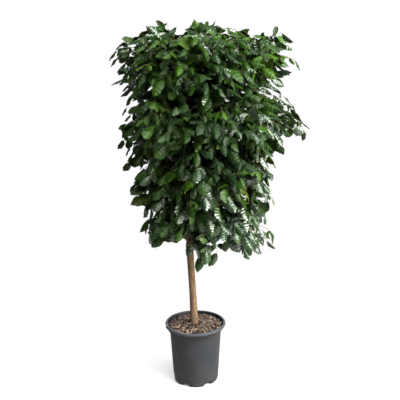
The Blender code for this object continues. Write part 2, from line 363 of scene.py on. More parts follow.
def potMaterial():
    material, tree, shader = newMaterial("potPlastic", {"Specular IOR Level": 0.24})
    places = placesOf(tree)
    height = addNode(tree, "SeparateXYZ", {0: places}).outputs["Z"]
    cloudy = noiseOn(tree, places, 11.0, 4.0)
    scuffs = noiseOn(tree, placesOf(tree, (30.0, 30.0, 150.0)), 1.0, 4.0)
    body = mixed(tree, cloudy, pot["tint"], shaded(pot["tint"], 1.55))
    low = ranged(tree, height, pot["dustHeight"], 0.0, 0.0, 0.75)
    dusty = times(tree, low, ranged(tree, scuffs, 0.42, 0.72))
    body = mixed(tree, dusty, body, pot["dustTint"])
    haze = times(tree, ranged(tree, cloudy, 0.5, 0.8), 0.16)
    body = mixed(tree, haze, body, pot["dustTint"])
    # Painted highlight: the top of the rolled lip gets a paler bluish tint, broken up by noise
    rimHighlight = ranged(tree, height, *pot["rimBand"])
    level = {0: places, 1: (1.0, 1.0, 0.0)}
    flat = addNode(tree, "VectorMath", level, operation="MULTIPLY").outputs[0]
    outer = addNode(tree, "VectorMath", {0: flat}, operation="LENGTH").outputs["Value"]
    rimHighlight = times(tree, rimHighlight, ranged(tree, outer, *pot["rimInner"]))
    highlightBreakup = ranged(tree, noiseOn(tree, places, 34.0, 5.0), 0.3, 0.7, 0.45, 1.0)
    body = mixed(tree, times(tree, rimHighlight, highlightBreakup), body, pot["rimHighlightTint"])
    tree.links.new(ranged(tree, cloudy, 0.3, 0.7, 0.48, 0.62), shader.inputs["Roughness"])
    surfaced(tree, shader, body, maths(tree, "ADD", scuffs, cloudy), 0.0006, 0.5)
    return material


def buildPot():
    bm = turned(potProfile(), pot["steps"])
    for vert in bm.verts:
        shapePot(vert)
    bmesh.ops.recalc_face_normals(bm, faces=bm.faces)
    piece = newObject("plantPot", meshFrom("plantPot", bm), potMaterial(), "pot")
    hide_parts("pot")


buildPot()
print("pot turned")


# Soil and the bark chips on it

soil = {
    "edgeRadius": 0.1262, "height": 0.2620, "dome": 0.006, "thickness": 0.012,
    "heap": 0.006, "heapSpread": 0.045, "rough": 0.0016, "roughScale": 60.0,
    "rings": (0.0, 0.02, 0.035, 0.05, 0.065, 0.08, 0.092, 0.104, 0.116, 0.1262),
    "steps": 72, "tint": (0.020, 0.0125, 0.0078), "paleTint": (0.055, 0.035, 0.021),
    "trunkFoot": (-0.005, 0.0),
}
chips = {
    "count": 640, "length": (0.007, 0.029), "edge": 0.1205, "trunkClear": 0.023, "hulls": 9,
    "corners": 11, "flatness": (1.0, 0.62, 0.30), "tip": 0.32, "layer": 0.004,
    "heaped": 1.6,
    "tints": {
        "chipsDark": ((0.038, 0.022, 0.015), 0.38),
        "chipsBrown": ((0.088, 0.053, 0.035), 0.42),
        "chipsTan": ((0.215, 0.152, 0.103), 0.20),
    },
}


def soilHeightAt(x, y):
    reach = math.hypot(x, y) / soil["edgeRadius"]
    near = math.hypot(x - soil["trunkFoot"][0], y - soil["trunkFoot"][1]) / soil["heapSpread"]
    scale = soil["roughScale"]
    rough = noise.noise(Vector((x * scale, y * scale, 3.1))) * soil["rough"]
    heap = soil["heap"] * math.exp(-near * near)
    return soil["height"] + soil["dome"] * (1.0 - reach * reach) + heap + rough


def soilMaterial():
    material, tree, shader = newMaterial("compost", {"Roughness": 0.95})
    places = placesOf(tree)
    crumbs = addNode(tree, "TexVoronoi", {"Vector": places, "Scale": 260.0})
    patches = noiseOn(tree, places, 70.0, 5.0)
    colour = mixed(tree, ranged(tree, patches, 0.4, 0.7), soil["tint"], soil["paleTint"])
    rough = maths(tree, "ADD", times(tree, crumbs.outputs["Distance"], 0.7), patches)
    surfaced(tree, shader, colour, rough, 0.003, 0.9)
    return material


def buildSoil():
    edge, base = soil["edgeRadius"], -soil["thickness"]
    bm = turned([(x, 0.0) for x in soil["rings"]] + [(edge, base), (0.0, base)], soil["steps"])
    for vert in bm.verts:
        under = vert.co.z < base / 2
        vert.co.z = soil["height"] + base if under else soilHeightAt(vert.co.x, vert.co.y)
    bmesh.ops.recalc_face_normals(bm, faces=bm.faces)
    piece = newObject("soilBed", meshFrom("soilBed", bm), soilMaterial(), "soil")
    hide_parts("soil")


def chipMaterial(name, tint):
    material, tree, shader = newMaterial(name, {"Roughness": 0.9})
    places = placesOf(tree)
    fibres = noiseOn(tree, placesOf(tree, (900.0, 260.0, 260.0)), 1.0, 3.0)
    patches = noiseOn(tree, places, 60.0, 2.0)
    colour = mixed(tree, fibres, shaded(tint, 0.55), tint)
    colour = mixed(tree, ranged(tree, patches, 0.35, 0.75), colour, shaded(tint, 1.35))
    surfaced(tree, shader, colour, fibres, 0.0008, 0.8)
    return material


def chipHull(source):
    bm = bmesh.new()
    for place in source.uniform(-0.5, 0.5, (chips["corners"], 3)) * chips["flatness"]:
        bm.verts.new(place)
    made = bmesh.ops.convex_hull(bm, input=bm.verts)
    loose = list({vert for vert in made["geom_interior"] if isinstance(vert, bmesh.types.BMVert)})
    bmesh.ops.delete(bm, geom=loose, context="VERTS")
    bmesh.ops.recalc_face_normals(bm, faces=bm.faces)
    return bm


def buildChips():
    source = np.random.default_rng(seeds["chips"])
    hulls = [meshFrom("chip", chipHull(source)) for _ in range(chips["hulls"])]
    heaps = {name: bmesh.new() for name in chips["tints"]}
    names = list(heaps)
    odds = [share for _, share in chips["tints"].values()]
    count = 0
    while count < chips["count"]:
        x, y = source.uniform(-1.0, 1.0, 2) * chips["edge"]
        toTrunk = math.hypot(x - soil["trunkFoot"][0], y)
        if math.hypot(x, y) > chips["edge"] or toTrunk < chips["trunkClear"]:
            continue
        length = source.uniform(*chips["length"])
        near = math.exp(-(toTrunk / soil["heapSpread"]) ** 2)
        heaped = soil["heap"] * near * chips["heaped"]
        z = soilHeightAt(x, y) + source.uniform(0.0, chips["layer"] + heaped)
        tip = source.normal(0.0, chips["tip"], 2)
        lie = (
            Matrix.Translation((x, y, z))
            @ Matrix.Rotation(source.uniform(0, math.tau), 4, "Z")
            @ Matrix.Rotation(tip[0], 4, "X")
            @ Matrix.Rotation(tip[1], 4, "Y")
            @ Matrix.Scale(length, 4)
        )
        heap = heaps[names[source.choice(len(names), p=odds)]]
        before = len(heap.verts)
        heap.from_mesh(hulls[count % len(hulls)])
        heap.verts.ensure_lookup_table()
        bmesh.ops.transform(heap, matrix=lie, verts=heap.verts[before:])
        count += 1
    for name, heap in heaps.items():
        material = chipMaterial(name, chips["tints"][name][0])
        newObject(name, meshFrom(name, heap), material, "soil", smooth=False)
    for hull in hulls:
        bpy.data.meshes.remove(hull)


buildSoil()
buildChips()
print("soil and chips laid")


# Trunk and boughs, from the rings of the frame's own limbs

limbs = {
    "ringGap": 0.008, "voxel": 0.0019, "relief": 0.0005, "spacing": 0.012,
    "leastRadius": 0.004, "tuck": 0.012, "collar": (1.05, 1.1), "stouter": 1.03,
    "flare": 0.14, "flareRise": 0.035, "tint": (0.106, 0.058, 0.030),
    "paleTint": (0.222, 0.142, 0.087), "darkTint": (0.048, 0.024, 0.013),
    "boughTint": (0.065, 0.031, 0.017),
}


def ringsOf(name):
    places = np.array([vert.co for vert in nodes[name].data.vertices])
    places = np.unique(np.round(places, 5), axis=0)
    middle = places.mean(0)
    axis = np.linalg.svd(places - middle)[2][0]
    if name in mainLimbs and axis[2] < 0:
        axis = -axis
    along = (places - middle) @ axis
    order = np.argsort(along)
    places, along = places[order], along[order]
    cuts = np.where(np.diff(along) > limbs["ringGap"])[0] + 1
    rings = []
    for group in np.split(places, cuts):
        centre = group.mean(0)
        rings.append((centre, np.linalg.norm(group - centre, axis=1).mean()))
    return rings


def addSpline(curve, places, radii):
    spline = curve.splines.new("POLY")
    spline.points.add(len(places) - 1)
    spline.points.foreach_set("co", np.column_stack([places, np.ones(len(places))]).ravel())
    spline.points.foreach_set("radius", np.asarray(radii, float))


def newCurve(name, sides):
    curve = bpy.data.curves.new(name, "CURVE")
    curve.dimensions = "3D"
    curve.bevel_depth = 1.0
    curve.bevel_resolution = (sides - 4) // 2
    curve.use_fill_caps = True
    return curve


def evaluated(holder):
    graph = bpy.context.evaluated_depsgraph_get()
    return bpy.data.meshes.new_from_object(holder.evaluated_get(graph))


def meshOfCurve(name, curve):
    holder = placed(name, curve)
    mesh = evaluated(holder)
    bpy.data.objects.remove(holder)
    return mesh


def smoothLine(places, radii, spacing):
    places, radii = np.asarray(places, float), np.asarray(radii, float)
    reach = np.concatenate([[0], np.cumsum(np.linalg.norm(np.diff(places, axis=0), axis=1))])
    count = max(int(reach[-1] / spacing), 2) + 1
    at = np.linspace(0, reach[-1], count)
    line = np.column_stack([np.interp(at, reach, places[:, k]) for k in range(3)])
    thick = np.interp(at, reach, radii)
    for _ in range(3):
        line[1:-1] = line[1:-1] * 0.5 + (line[:-2] + line[2:]) * 0.25
        thick[1:-1] = thick[1:-1] * 0.5 + (thick[:-2] + thick[2:]) * 0.25
    return line, thick


def readLimbs():
    lines = {}
    for name in limbNames:
        rings = ringsOf(name)
        if name == "trunk":
            rings = [ring for ring in rings if ring[1] > limbs["leastRadius"]]
        lines[name] = [[ring[0] for ring in rings], [ring[1] for ring in rings]]
    spine = np.array(lines["bough_leader"][0] + lines["bough_lower_left"][0])
    for name, (places, radii) in lines.items():
        if name in mainLimbs:
            continue
        gaps = [np.linalg.norm(spine - places[k], axis=1).min() for k in (0, -1)]
        if gaps[0] > gaps[1]:
            places.reverse()
            radii.reverse()
    for name, (places, radii) in lines.items():
        if name == "trunk":
            radii[0] = radii[1]
            places.insert(0, places[0] - up * limbs["tuck"])
            radii.insert(0, radii[0])
            for k, place in enumerate(places):
                swell = math.exp(-max(place[2] - soil["height"], 0.0) / limbs["flareRise"])
                radii[k] *= limbs["stouter"] + limbs["flare"] * swell
            continue
        radii[0] = radii[1] * limbs["collar"][0]
        back = unit(places[0] - places[1])
        places.insert(0, places[0] + back * limbs["tuck"])
        radii.insert(0, radii[0] * limbs["collar"][1])
    return {name: smoothLine(*line, limbs["spacing"]) for name, line in lines.items()}


def barkMaterial():
    material, tree, shader = newMaterial("bark", {"Roughness": 0.85, "Specular IOR Level": 0.15})
    places = placesOf(tree)
    height = addNode(tree, "SeparateXYZ", {0: places}).outputs["Z"]
    streaks = noiseOn(tree, placesOf(tree, (230.0, 230.0, 34.0)), 1.0, 5.0, 0.62)
    patches = noiseOn(tree, placesOf(tree, (60.0, 60.0, 22.0)), 1.0, 4.0)
    colour = mixed(tree, ranged(tree, streaks, 0.34, 0.66), limbs["tint"], limbs["paleTint"])
    colour = mixed(tree, ranged(tree, patches, 0.52, 0.74, 0.0, 0.6), colour, limbs["darkTint"])
    inCrown = ranged(tree, height, 0.60, 0.74, 0.0, 0.85)
    colour = mixed(tree, inCrown, colour, mixed(tree, streaks, limbs["boughTint"], limbs["tint"]))
    specks = addNode(tree, "TexVoronoi", {"Vector": places, "Scale": 190.0}).outputs["Distance"]
    rough = maths(tree, "ADD", streaks, times(tree, specks, 0.4))
    surfaced(tree, shader, colour, rough, 0.0012, 0.8)
    return material


def buildLimbs(lines):
    curve = newCurve("limbs", 16)
    for places, radii in lines.values():
        addSpline(curve, places, radii)
    mesh = meshOfCurve("limbs", curve)
    piece = newObject("trunkAndBoughs", mesh, barkMaterial(), "bark")
    remesh = piece.modifiers.new("remesh", "REMESH")
    remesh.mode = "VOXEL"
    remesh.voxel_size = limbs["voxel"]
    relax = piece.modifiers.new("relax", "SMOOTH")
    relax.factor = 0.5
    relax.iterations = 3
    fine = evaluated(piece)
    piece.modifiers.clear()
    old = piece.data
    piece.data = fine
    bpy.data.meshes.remove(old)
    places, normals = (np.zeros(len(fine.vertices) * 3, np.float32) for _ in range(2))
    fine.vertices.foreach_get("co", places)
    fine.vertices.foreach_get("normal", normals)
    places, normals = places.reshape(-1, 3), normals.reshape(-1, 3)
    for k, (x, y, z) in enumerate(places.tolist()):
        coarse = noise.noise(Vector((x * 70.0, y * 70.0, z * 16.0)))
        ripple = noise.noise(Vector((x * 260.0, y * 260.0, z * 60.0)))
        places[k] += normals[k] * limbs["relief"] * (coarse * 1.5 + ripple * 0.8)
    fine.vertices.foreach_set("co", places.ravel())
    fine.update()
    fine.shade_smooth()
    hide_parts(*limbNames)


limbLines = readLimbs()
buildLimbs(limbLines)
print("trunk and boughs grown")


# The crown's outer surface, sampled from the masses

crown = {
    "axis": (0.055, 0.0), "samplesPerM2": 2600, "open": 0.35, "rays": 9, "rayReach": 0.7,
    "raySpread": 0.85, "rayStart": 0.003, "steep": 0.35, "closeArc": 0.055,
    "closeRise": 0.15, "closeSlope": 0.22, "topLift": 0.011, "underLift": 0.035,
    "leftPush": 0.030, "proud": 0.032,
}


def sampleCrown():
    # Only skin that sees out of the crown counts, so each sample casts a few rays
    source = np.random.default_rng(seeds["skin"])
    places, faces = [], []
    for name in massNames:
        mesh = nodes[name].data
        first = len(places)
        places += [tuple(vert.co) for vert in mesh.vertices]
        faces += [tuple(first + index for index in face.vertices) for face in mesh.polygons]
    tree = BVHTree.FromPolygons(places, faces)
    corners = np.array(places)[np.array(faces)]
    cross = np.cross(corners[:, 1] - corners[:, 0], corners[:, 2] - corners[:, 0])
    sizes = np.linalg.norm(cross, axis=1) / 2
    count = int(sizes.sum() * crown["samplesPerM2"])
    chosen = source.choice(len(faces), count, p=sizes / sizes.sum())
    mix = source.dirichlet((1.0, 1.0, 1.0), count)
    spots = (corners[chosen] * mix[:, :, None]).sum(1)
    facing = unit(cross[chosen])
    points, normals, sides = [], [], []
    for spot, normal in zip(spots, facing):
        strays = unit(source.normal(0.0, 1.0, (crown["rays"], 3)))
        aims = unit(normal + strays * crown["raySpread"])
        start = Vector(spot + normal * crown["rayStart"])
        free = [tree.ray_cast(start, Vector(aim), crown["rayReach"])[0] is None for aim in aims]
        if sum(free) > crown["open"] * crown["rays"]:
            points.append(spot)
            normals.append(normal)
            ahead = Vector((0.0, 0.0, 1.0 if normal[2] > 0 else -1.0))
            shut = tree.ray_cast(start, ahead, crown["rayReach"])[0] is not None
            sides.append(shut or abs(normal[2]) < crown["steep"])
    return closeGrooves(np.array(points), np.array(normals), np.array(sides))


def closeGrooves(points, normals, sides):
    # The grooves between the tiers fill out to the widest skin just above or below them,
    # then the skin's left side, top and middle underside move to where the leaves end
    flat = points[:, :2] - crown["axis"]
    reach = np.hypot(flat[:, 0], flat[:, 1])
    angle = np.arctan2(flat[:, 1], flat[:, 0])
    radial = np.column_stack([flat / reach[:, None], np.zeros(len(flat))])
    for k in np.flatnonzero(sides):
        arc = np.abs((angle - angle[k] + np.pi) % math.tau - np.pi) * reach[k]
        rise = np.abs(points[:, 2] - points[k, 2])
        near = (arc < crown["closeArc"]) & (rise < crown["closeRise"])
        slope = crown["closeSlope"] + 0.8 * max(math.cos(angle[k]), 0.0)
        wide = (reach[near] - slope * rise[near] - 0.2 * arc[near]).max()
        if wide > reach[k]:
            share = min((wide - reach[k]) / 0.06, 1.0)
            points[k, :2] = crown["axis"] + radial[k, :2] * wide
            normals[k] = unit(normals[k] * (1.0 - share) + radial[k] * share)
    points[:, 0] -= crown["leftPush"] * np.clip(-normals[:, 0] * 2.0 - 0.6, 0.0, 1.0)
    tops = ~sides & (normals[:, 2] > 0)
    points[tops, 2] += crown["topLift"]
    under = ~sides & (normals[:, 2] < 0)
    points[under, 2] += crown["underLift"] * np.clip(1.6 - reach[under] / 0.12, 0.0, 1.0)
    return points, normals


skinPoints, skinNormals = sampleCrown()
skinTree = kdtree.KDTree(len(skinPoints))
for skinIndex, skinPoint in enumerate(skinPoints):
    skinTree.insert(skinPoint, skinIndex)
skinTree.balance()
print("crown skin sampled:", len(skinPoints), "points")


def skinAt(place, spread=10):
    found = skinTree.find_n(place, spread)
    outward = unit(sum(skinNormals[index] for _, index, _ in found))
    nearest = skinPoints[found[0][1]]
    side = float(np.dot(place - nearest, outward))
    gap = found[0][2]
    return (gap if side > 0 else -gap), outward


def spreadOut(points, spacing, source):
    # Points in random order, each kept if no kept one lies nearer than the spacing
    chosen, cells = [], {}
    for index in source.permutation(len(points)):
        place = points[index]
        x, y, z = np.floor(place / spacing).astype(int)
        around = product((x - 1, x, x + 1), (y - 1, y, y + 1), (z - 1, z, z + 1))
        near = [other for cell in around for other in cells.get(cell, ())]
        if all(np.linalg.norm(points[other] - place) >= spacing for other in near):
            cells.setdefault((x, y, z), []).append(index)
            chosen.append(index)
    return chosen


# Leaves are laid out from their tips: each reaches the crown's skin from a twig further in

layout = {
    # Spacing, depth under the skin and its spread, layer by layer
    "layers": (
        (0.052, -0.012, 0.020), (0.072, 0.050, 0.024),
        (0.100, 0.120, 0.030), (0.115, 0.185, 0.025),
    ),
    "reach": (0.14, 0.21), "groupReach": 0.065, "edgeDepth": 0.045,
    "lowDepth": (-0.16, -0.10), "edgeClear": 0.045, "thinCorner": (0.24, 0.74),
    "lowThinning": 0.25,
    # Tips seen against the sky, as x and z
    "leftTips": [
        (-0.355, 1.479), (-0.327, 1.527), (-0.327, 1.429), (-0.317, 1.379), (-0.307, 1.328),
        (-0.308, 1.294), (-0.306, 1.252), (-0.318, 1.175), (-0.328, 1.144), (-0.281, 1.117),
        (-0.276, 1.043), (-0.238, 1.007), (-0.217, 0.962), (-0.286, 0.909), (-0.293, 0.855),
        (-0.250, 0.817), (-0.234, 0.743), (-0.249, 0.711), (-0.219, 0.678), (-0.212, 0.621),
    ],
    "rightTips": [
        (0.438, 1.539), (0.478, 1.424), (0.382, 1.304), (0.434, 1.282), (0.469, 1.251),
        (0.495, 1.217), (0.518, 1.173), (0.537, 1.117), (0.474, 1.196), (0.389, 1.110),
        (0.359, 1.067), (0.373, 1.005), (0.369, 0.965), (0.374, 0.843), (0.388, 0.806),
        (0.362, 0.761), (0.317, 0.706), (0.365, 0.660),
    ],
    "topTips": [
        (-0.122, 1.637), (-0.165, 1.597), (0.015, 1.623), (0.074, 1.638), (0.165, 1.596),
        (0.253, 1.580), (0.345, 1.565),
    ],
    "lowTips": [(0.040, 0.565), (0.108, 0.570), (0.165, 0.630), (0.290, 0.665)],
}


def radialOf(place):
    flat = np.array((place[0] - crown["axis"][0], place[1] - crown["axis"][1], 0.0))
    return unit(flat + 1e-6)


def layOutTips():
    source = np.random.default_rng(seeds["tips"])
    tips = []
    for side in ("leftTips", "rightTips", "topTips", "lowTips"):
        for x, z in layout[side]:
            depth = source.uniform(-1.0, 1.0) * layout["edgeDepth"]
            if side == "lowTips":
                depth = source.uniform(*layout["lowDepth"])
            place = np.array((x, depth, z))
            tips.append((place, skinAt(place)[1], True))
    far = np.array([place for place, _, _ in tips])
    thinX, thinZ = layout["thinCorner"]
    for spacing, inset, spread in layout["layers"]:
        for index in spreadOut(skinPoints, spacing, source):
            place = skinPoints[index]
            if np.linalg.norm(far - place, axis=1).min() < layout["edgeClear"]:
                continue
            outward = skinAt(place, 24)[1]
            place = place - outward * (inset + abs(source.normal(0.0, spread)))
            inCorner = place[0] > thinX and place[2] < thinZ
            if inCorner and source.random() < layout["lowThinning"]:
                continue
            tips.append((place, outward, False))
    return tips


def heightShare(tip):
    # From 0 in the lower crown to 1 at its shoulders
    return float(np.clip((tip[2] - 1.0) / 0.4, 0.0, 1.0))


def rootOf(tip, outward, source):
    fall = source.uniform(0.25, 0.75) - 0.30 * heightShare(tip)
    rise = max(outward[2], 0.0)
    outwards = radialOf(tip) * (0.9 - 0.45 * rise) + outward * 0.35
    return tip - unit(outwards - up * (fall - rise * 1.15)) * source.uniform(*layout["reach"])


def groupRoots(roots):
    # Roots that lie close together share one twig end
    free = list(range(len(roots)))
    groups = []

    def membersNear(place):
        return [i for i in free if np.linalg.norm(roots[i] - place) < layout["groupReach"]]

    while free:
        first = free[0]
        middle = roots[membersNear(roots[first])].mean(0)
        members = membersNear(middle) or [first]
        groups.append((roots[members].mean(0), members))
        free = [i for i in free if i not in members]
    return groups


twigs = {
    "step": 0.022, "turnCost": 0.55, "dropCost": 0.7, "lowest": 0.80, "leadShare": 0.4,
    "backShare": 0.35, "leafRadius": 0.00115, "power": 0.40, "wander": 0.012,
    "tint": (0.055, 0.040, 0.016), "paleTint": (0.105, 0.083, 0.034),
}


def growTwigs(ends, weights):
    # Every end joins the nearest wood that points its way, nearest ends first
    source = np.random.default_rng(seeds["twigs"])
    places, aims, runs = [], [], []
    for name, (line, _) in limbLines.items():
        for k in range(2, len(line)):
            if name == "trunk" or name in mainLimbs and line[k][2] < twigs["lowest"]:
                continue
            places.append(line[k])
            aims.append(unit(line[k] - line[k - 1]))
    parents, loads = [-1] * len(places), [0.0] * len(places)
    wood = np.array(places)
    order = np.argsort([np.linalg.norm(wood - end, axis=1).min() for end in ends])
    for index in order:
        end = ends[index]
        wood, heading = np.array(places), np.array(aims)
        gaps = end - wood
        far = np.linalg.norm(gaps, axis=1)
        facing = (gaps * heading).sum(1) / np.maximum(far, 1e-6)
        drop = np.maximum(wood[:, 2] - end[2], 0.0) * twigs["dropCost"]
        cost = far * (1.0 + twigs["turnCost"] * (1.0 - facing)) + drop
        root = int(np.argmin(cost))
        start, span = wood[root], far[root]
        straight = gaps[root] / max(span, 1e-6)
        lead = start + unit(heading[root] + straight) * span * twigs["leadShare"]
        arrival = unit(skinAt(end)[1] * 0.6 + up * 0.35 + straight)
        back = end - arrival * span * twigs["backShare"]
        steps = max(int(span / twigs["step"]), 2)
        chain = [root]
        bow = source.normal(0.0, twigs["wander"], 3)
        for k in range(1, steps + 1):
            t = k / steps
            spot = (
                start * (1 - t) ** 3 + lead * 3 * t * (1 - t) ** 2
                + back * 3 * t * t * (1 - t) + end * t ** 3
            )
            spot = spot + bow * math.sin(math.pi * t) * min(span / 0.15, 1.0)
            places.append(spot)
            aims.append(unit(spot - places[chain[-1]]))
            parents.append(chain[-1])
            loads.append(0.0)
            chain.append(len(places) - 1)
        loads[chain[-1]] += weights[index]
        runs.append((index, chain))
    for k in range(len(places) - 1, -1, -1):
        if parents[k] >= 0:
            loads[parents[k]] += loads[k]
    return np.array(places), np.array(aims), np.array(loads), runs


def twigMaterial(name, tint, paleTint):
    material, tree, shader = newMaterial(name, {"Roughness": 0.6})
    places = placesOf(tree)
    patches = noiseOn(tree, places, 55.0, 3.0)
    colour = mixed(tree, ranged(tree, patches, 0.35, 0.65), tint, paleTint)
    surfaced(tree, shader, colour, noiseOn(tree, places, 400.0, 2.0), 0.0006, 0.5)
    return material


def buildTwigs(places, loads, runs):
    curve = newCurve("twigs", 6)
    for _, chain in runs:
        radii = twigs["leafRadius"] * np.maximum(loads[chain], 1.0) ** twigs["power"]
        radii[0] = min(radii[0], radii[1] * 1.25)
        addSpline(curve, places[chain], radii)
    material = twigMaterial("twigBark", twigs["tint"], twigs["paleTint"])
    newObject("twigs", meshOfCurve("twigs", curve), material, "bark")


# One leaf: a stalk that arches over, leaflets in opposite pairs and one at the end

leaf = {
    "pairGap": 0.039, "endGap": 0.024, "fullSize": 0.060, "mostPairs": 4,
    "length": (0.041, 0.077), "highGrowth": 0.27, "lowGrowth": 0.17,
    "pairSize": (0.74, 1.04), "shape": (0.62, 0.78), "highShape": (0.36, 0.52),
    "edgeShape": (0.34, 0.54), "fall": (0.3, 0.8), "edgeFall": (0.45, 0.85),
    "topFall": 0.15, "topFrom": 1.54, "standsOver": 1.62, "hangsUnder": 0.67,
    "endSize": 1.15, "openDeg": (48.0, 68.0), "sag": (0.25, 0.95), "arch": (0.20, 1.35),
    "fold": (0.05, 0.62), "curl": (0.10, 0.50), "twist": 0.22, "loose": 0.46,
    "looserUp": 0.12, "quilt": 0.0015, "wave": 0.0022, "knee": (0.42, 0.55), "stations": 8,
    "stalkRadius": 0.0011, "stalkTint": (0.080, 0.092, 0.022),
    "stalkPaleTint": (0.150, 0.116, 0.045),
}


def stalkLine(root, end, heading, source):
    span = np.linalg.norm(end - root)
    knee = root + unit(heading + up * 0.25) * span * source.uniform(*leaf["knee"])
    share = np.linspace(0, 1, leaf["stations"])[:, None]
    return root * (1 - share) ** 2 + knee * 2 * share * (1 - share) + end * share ** 2


def layLeaf(root, tip, outward, twigAim, source, tone):
    def pick(key):
        return source.uniform(*leaf[key])

    high = heightShare(tip)
    low = float(np.clip((0.98 - tip[2]) / 0.15, 0.0, 1.0))
    grown = 1.0 + leaf["highGrowth"] * high + leaf["lowGrowth"] * low
    size = pick("length") * tone["size"] * grown
    far = tone["far"]
    kind = "edgeShape" if far else "highShape" if source.random() < high else "shape"
    shape = pick(kind)
    radial = radialOf(tip)
    reach = tip - root
    fall = pick("fall") * (1.0 - 0.62 * high)
    if far:
        fall = pick("edgeFall") if tip[2] < leaf["topFrom"] else leaf["topFall"]
    if tone["stands"]:
        fall = -2.0
    lead = unit(reach)
    lead[2] *= 0.25 if lead[2] > 0 else 1.0
    hang = unit(lead * 0.8 + radial * 0.35 - up * fall)
    if tone["hangs"]:
        hang = unit(hang - up * 2.5)
    end = tip - hang * size * 0.95
    line = stalkLine(root, end, unit(unit(reach) + twigAim * 0.5 + up * 0.2), source)
    steps = np.linalg.norm(np.diff(line, axis=0), axis=1)
    length = steps.sum()
    marks = np.concatenate([[0], np.cumsum(steps)]) / length

    def stalkAt(share):
        return np.array([np.interp(share, marks, line[:, k]) for k in range(3)])

    loose = leaf["loose"] + leaf["looserUp"] * high
    lift = 0.55 + 0.30 * high
    astray = source.normal(0.0, loose, 3)
    facing = unit(outward * (1.1 - lift) + up * lift + radial * 0.15 + astray)
    gap = leaf["pairGap"] * size / leaf["fullSize"]
    pairs = int(np.clip((length - 0.025) / gap + 0.4, 1, leaf["mostPairs"]))
    if tone["hangs"] or tone["stands"]:
        pairs = 1
    if tone["hangs"]:
        facing = unit(radial + source.normal(0.0, 0.35, 3))
    entries = [(line[-1], hang, size, facing)]
    sag = -0.4 if tone["stands"] else 1.0 - 0.6 * high
    for pair in range(pairs):
        at = 1.0 - (leaf["endGap"] * size / leaf["fullSize"] + gap * pair) / length
        if at < 0.12:
            break
        spot = stalkAt(at)
        along = unit(spot - stalkAt(max(at - 0.1, 0)))
        side = np.cross(along, square(facing, along))
        for hand in (-1.0, 1.0):
            turn = math.radians(pick("openDeg"))
            aim = along * math.cos(turn) + side * hand * math.sin(turn)
            aim = unit(aim - up * pick("sag") * sag)
            local = unit(facing + side * hand * 0.30 + source.normal(0.0, loose * 0.7, 3))
            part = size * pick("pairSize") * (1.0 - 0.05 * pair)
            entries.append((spot, aim, part, local))
    made = []
    for spot, aim, part, face in entries:
        made.append({
            "base": spot, "aim": aim, "face": square(face, aim), "length": part,
            "width": part * shape, "arch": pick("arch") * (1.0 - 0.10 * high),
            "fold": pick("fold"), "twist": source.normal(0.0, leaf["twist"]),
            "phase": source.uniform(0, math.tau), "curl": pick("curl"),
            "tint": tone["tint"],
        })
    return line, made


# Each row of the leaflet runs from the midrib to the margin along a side vein

outline = {
    "midrib": (0.0, 0.06, 0.12, 0.20, 0.28, 0.37, 0.46, 0.55, 0.64, 0.73, 0.82, 0.91, 1.0),
    "margin": (0.0, 0.06, 0.095, 0.18, 0.30, 0.43, 0.555, 0.665, 0.76, 0.84, 0.908, 0.955, 1.0),
    "width": (0.0, 0.030, 0.40, 0.70, 0.90, 0.99, 1.0, 0.95, 0.82, 0.61, 0.36, 0.13, 0.0),
    "rows": 12, "columns": 4, "mapWidth": 0.31, "mapStart": 0.04, "mapRun": 0.92,
}


def leafletGrid():
    bm = bmesh.new()
    bmesh.ops.create_grid(bm, x_segments=outline["rows"], y_segments=outline["columns"], size=1.0)
    for vert in bm.verts:
        if abs(vert.co.x) > 0.999:
            vert.co.y = 0.0
    bmesh.ops.remove_doubles(bm, verts=bm.verts, dist=1e-5)
    bm.verts.index_update()
    row = np.array([round((vert.co.x + 1.0) / 2 * outline["rows"]) for vert in bm.verts])
    across = np.array([vert.co.y for vert in bm.verts])
    faces = [[vert.index for vert in face.verts] for face in bm.faces]
    bm.free()
    return row, across, faces


def leafletMesh(name, entries, grid):
    row, across, faces = grid
    width = np.array(outline["width"])[row]
    midrib, margin = np.array(outline["midrib"])[row], np.array(outline["margin"])[row]
    reach = midrib + (margin - midrib) * np.abs(across) ** 1.4

    def column(key):
        return np.array([entry[key] for entry in entries], float)[:, None]

    base, aim, face = (column(key) for key in ("base", "aim", "face"))
    length, half = column("length"), column("width") / 2
    arch = column("arch")
    turn = arch * reach
    forward = np.sin(turn) / arch * length
    fallen = -(1.0 - np.cos(turn)) / arch * length
    right = np.cross(face, aim)
    ahead = aim * np.cos(turn)[..., None] - face * np.sin(turn)[..., None]
    above = face * np.cos(turn)[..., None] + aim * np.sin(turn)[..., None]
    roll = column("twist") * reach * 1.6
    sideways = right * np.cos(roll)[..., None] + above * np.sin(roll)[..., None]
    above = above * np.cos(roll)[..., None] - right * np.sin(roll)[..., None]
    offset = across * width * half
    inner = (np.abs(across) < 0.1).astype(float)
    ridge = np.where(row % 2 == 1, -0.7, 0.8) * (1.0 - inner) - 0.6 * inner
    ridge = ridge * np.where(np.abs(across) > 0.9, 0.35, 1.0) * np.minimum(width * 1.3, 1.0)
    droop = -np.abs(offset) * (column("fold") + column("curl") * np.abs(across))
    wave = np.sin(reach * 13.0 + column("phase") + across * 1.4) * np.abs(across) ** 2 * width
    lift = droop + ridge * leaf["quilt"] + wave * leaf["wave"]
    flat = offset * np.cos(column("fold"))
    places = (
        base + aim * forward[..., None] + face * fallen[..., None]
        + sideways * flat[..., None] + above * lift[..., None]
    )
    lateral = across * width * outline["mapWidth"]
    start, run = outline["mapStart"], outline["mapRun"]
    uv = np.column_stack([start + run * row / outline["rows"], 0.5 + run * lateral])
    return meshOfCopies(name, places, faces, uv)


